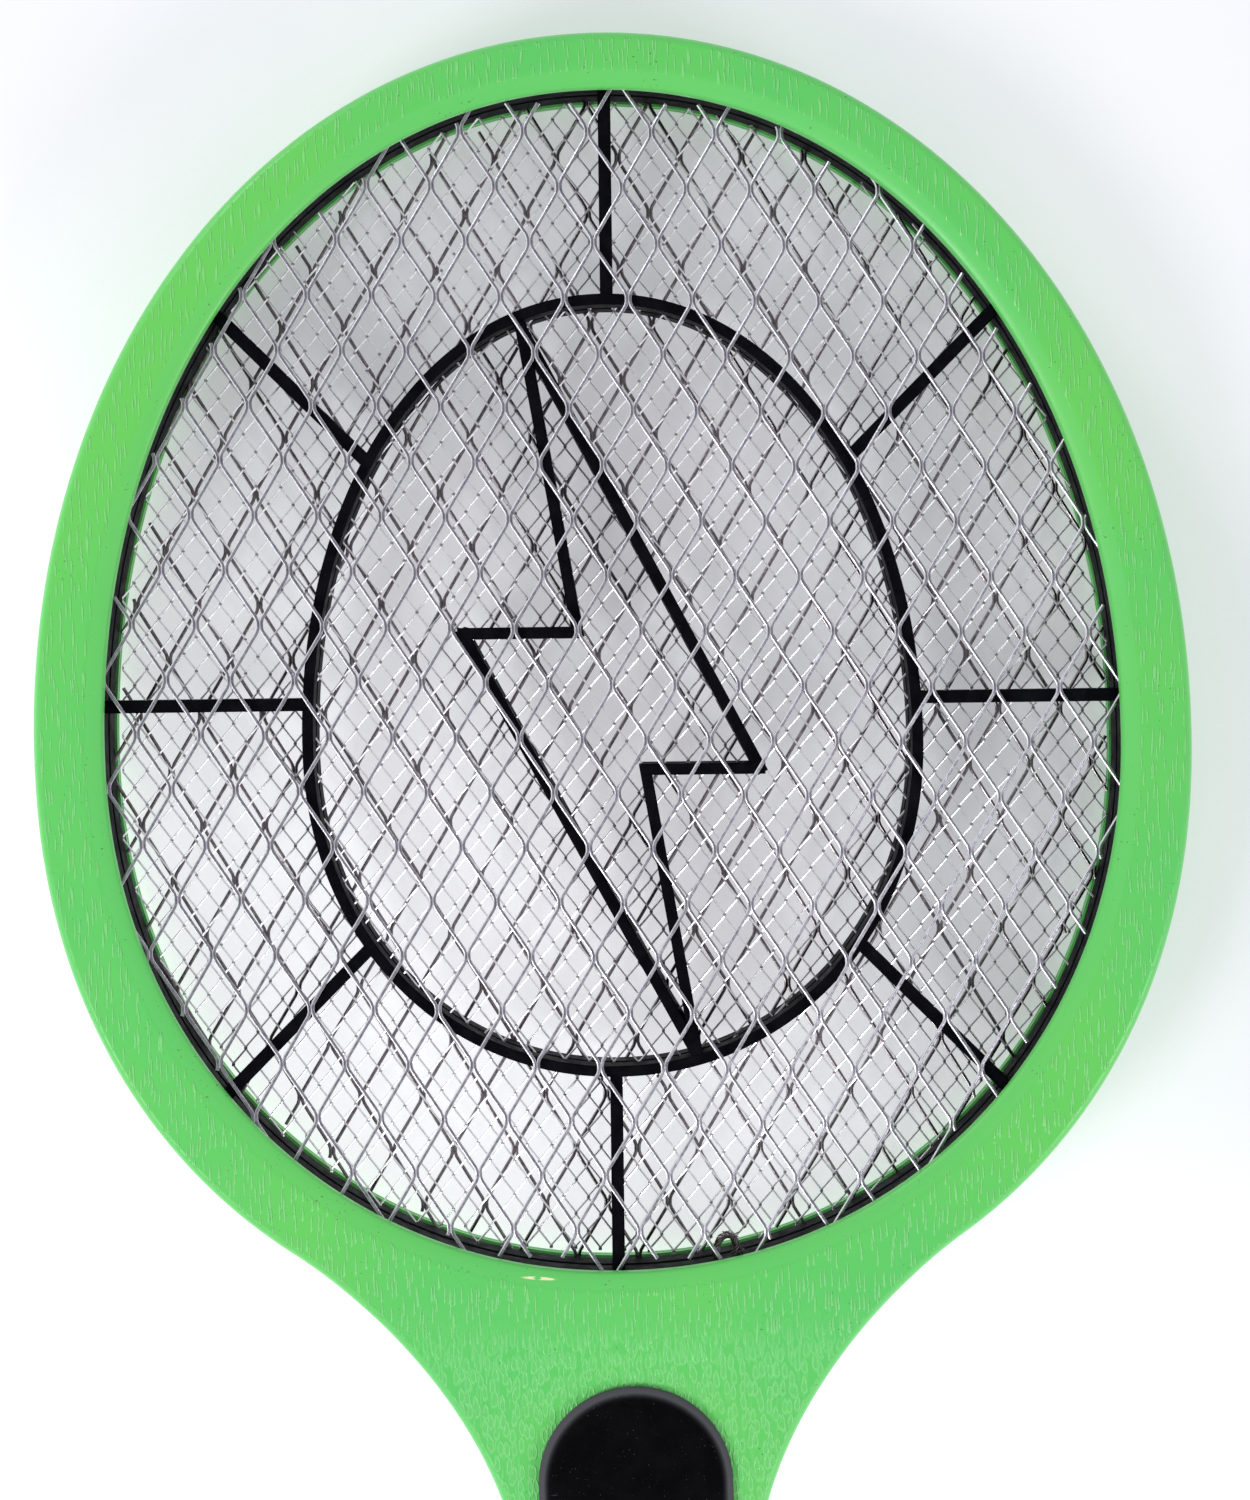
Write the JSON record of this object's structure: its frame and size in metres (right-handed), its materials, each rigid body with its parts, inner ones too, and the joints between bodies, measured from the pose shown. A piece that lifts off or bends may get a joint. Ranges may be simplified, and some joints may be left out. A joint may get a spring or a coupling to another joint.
{
  "type": "electric bug zapper",
  "caption": "Racket-shaped electric bug zapper: an oval head with layered wire grids over black webs, and a handle with button, switch, circuit and cells.",
  "frame": {"origin": "centre of the bounding box's bottom, on the flat back face: mid-length of the racket, on its long axis", "axes": "+Y along the handle towards the head, +X to the right seen from the front, +Z out of the front face"},
  "size_m": [0.2016, 0.48, 0.026],
  "materials": {
    "green_plastic": "bright green moulded plastic with an embossed grain of short strokes, smooth on the lip",
    "coarse_grid_metal": "bright expanded metal, slightly oxidised",
    "fine_grid_metal": "fine expanded metal and bare wire",
    "black_web_plastic": "black moulded plastic, satin",
    "black_panel_plastic": "black moulded plastic, fine matt texture with a soft edge",
    "black_button_plastic": "black moulded plastic, satin",
    "black_tray_plastic": "black moulded plastic",
    "red_wire": "red insulated wire",
    "black_wire": "black insulated wire",
    "steel": "nickel-plated steel",
    "lamp_red": "clear red moulded resin",
    "board_green": "green lacquered board",
    "ferrite": "dark sintered ferrite",
    "copper": "enamelled copper wire, closely wound",
    "red_lacquer": "red-brown dipped film capacitor",
    "tan_lacquer": "tan lacquer",
    "cell_wrap": "plain blue printed wrap with bare metal ends"
  },
  "bodies": {
    "housing": {"front_shell": "green_plastic", "rear_shell": "green_plastic", "front_grid": "coarse_grid_metal", "rear_grid": "coarse_grid_metal", "centre_grid": "fine_grid_metal", "grid_splice": "fine_grid_metal", "front_spacer": "black_web_plastic", "rear_spacer": "black_web_plastic", "centre_grid_lead": "red_wire", "battery_lead_positive": "red_wire", "outer_grid_lead": "black_wire", "battery_lead_negative": "black_wire", "control_panel": "black_panel_plastic", "switch_body": "black_tray_plastic", "battery_tray": "black_tray_plastic", "transistor": "black_tray_plastic", "diode_1": "black_tray_plastic", "diode_2": "black_tray_plastic", "diode_3": "black_tray_plastic", "slide_switch_body": "steel", "terminal_negative": "steel", "terminal_positive": "steel", "bridge_plate": "steel", "spring_left": "steel", "spring_right": "steel", "board_screw_1": "steel", "board_screw_2": "steel", "housing_screw_1": "steel", "housing_screw_2": "steel", "housing_screw_3": "steel", "housing_screw_4": "steel", "housing_screw_5": "steel", "housing_screw_6": "steel", "housing_screw_7": "steel", "housing_screw_8": "steel", "housing_screw_9": "steel", "housing_screw_10": "steel", "indicator_lamp": "lamp_red", "circuit_board": "board_green", "transformer_core": "ferrite", "transformer_winding": "copper", "storage_capacitor": "red_lacquer", "disc_capacitor_1": "tan_lacquer", "disc_capacitor_2": "tan_lacquer", "resistor_1": "tan_lacquer", "resistor_2": "tan_lacquer", "battery_left": "cell_wrap", "battery_right": "cell_wrap"},
    "cover": {"battery_cover": "green_plastic"},
    "button": {"push_button": "black_button_plastic"},
    "plunger": {"switch_plunger": "steel"},
    "slider": {"slide_knob": "black_button_plastic"}
  },
  "joints": [
    {"name": "button_press", "type": "slide", "parent": "housing", "child": "button", "axis": [0, 0, -1], "range_m": [0, 0.0012], "stiffness_N_per_m": 300, "springref_m": -0.001},
    {"name": "plunger_press", "type": "slide", "parent": "housing", "child": "plunger", "axis": [0, 0, -1], "range_m": [0, 0.00096]},
    {"name": "power_slide", "type": "slide", "parent": "housing", "child": "slider", "axis": [0, 1, 0], "range_m": [0, 0.004]},
    {"name": "cover_slide", "type": "slide", "parent": "housing", "child": "cover", "axis": [0, -1, 0], "range_m": [0, 0.095]}
  ],
  "couplings": [
    {"joint": "plunger_press", "follows": "button_press", "ratio": 0.8}
  ]
}
